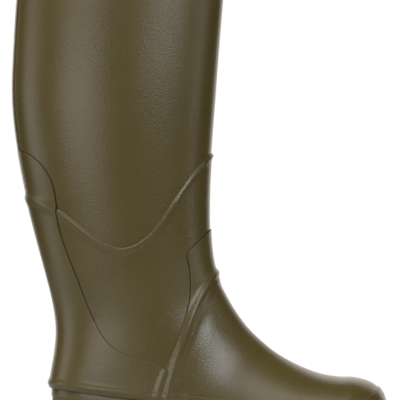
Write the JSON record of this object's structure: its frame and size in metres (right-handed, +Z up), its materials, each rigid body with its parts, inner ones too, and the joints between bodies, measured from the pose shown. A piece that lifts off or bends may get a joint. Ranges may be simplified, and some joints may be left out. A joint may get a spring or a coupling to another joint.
{
  "type": "insulated rubber boot",
  "caption": "Tall insulated pull-on rubber hunting boot for the right foot, with overlaid rubber panels, a foam and knit lining, a lugged sole and a removable footbed",
  "frame": {"origin": "centre of the bounding box at ground level, under the boot", "axes": "+X towards the toe, +Y towards the medial (inner) side, +Z up"},
  "size_m": [0.3289, 0.1044, 0.423],
  "materials": {
    "leg_sheet": "matte olive rubber sheet",
    "vamp_underlay": "matte olive rubber sheet",
    "ankle_guard": "matte olive rubber overlay",
    "heel_counter": "matte olive rubber overlay",
    "vamp": "matte olive rubber overlay",
    "instep_rib": "matte olive rubber fold",
    "toe_foxing": "matte olive rubber strip",
    "back_strip": "matte olive rubber tape",
    "top_binding": "matte olive rubber binding",
    "toe_puff": "stiff moulded sheet",
    "heel_stiffener": "stiff moulded sheet",
    "insulation_leg": "closed-cell foam rubber",
    "insulation_foot": "closed-cell foam rubber",
    "lining_leg": "brushed knitted lining",
    "lining_foot": "brushed knitted lining",
    "lining_hem": "doubled knitted hem",
    "outsole": "lugged rubber, matte",
    "sole_band": "smooth rubber strip",
    "midsole_foam": "foam rubber",
    "heel_cushion": "soft foam rubber",
    "shank": "spring steel strip",
    "insole_board": "pressed fibre board",
    "insole_felt": "needled felt",
    "footbed": "felt-covered footbed"
  },
  "bodies": {
    "boot": {"leg_sheet": "leg_sheet", "vamp_underlay": "vamp_underlay", "ankle_guard": "ankle_guard", "heel_counter": "heel_counter", "vamp": "vamp", "instep_rib": "instep_rib", "toe_foxing": "toe_foxing", "back_strip": "back_strip", "top_binding": "top_binding", "toe_puff": "toe_puff", "heel_stiffener": "heel_stiffener", "insulation_leg": "insulation_leg", "insulation_foot": "insulation_foot", "lining_leg": "lining_leg", "lining_foot": "lining_foot", "lining_hem": "lining_hem", "outsole": "outsole", "sole_band": "sole_band", "midsole_foam": "midsole_foam", "heel_cushion": "heel_cushion", "shank": "shank", "insole_board": "insole_board", "insole_felt": "insole_felt"},
    "footbed": {"footbed": "footbed"}
  },
  "joints": [
    {"name": "footbed_lift", "type": "hinge", "parent": "boot", "child": "footbed", "pos_m": [0.146, 0, 0.0365], "axis": [0, 1, 0], "range_deg": [0, 2]}
  ]
}
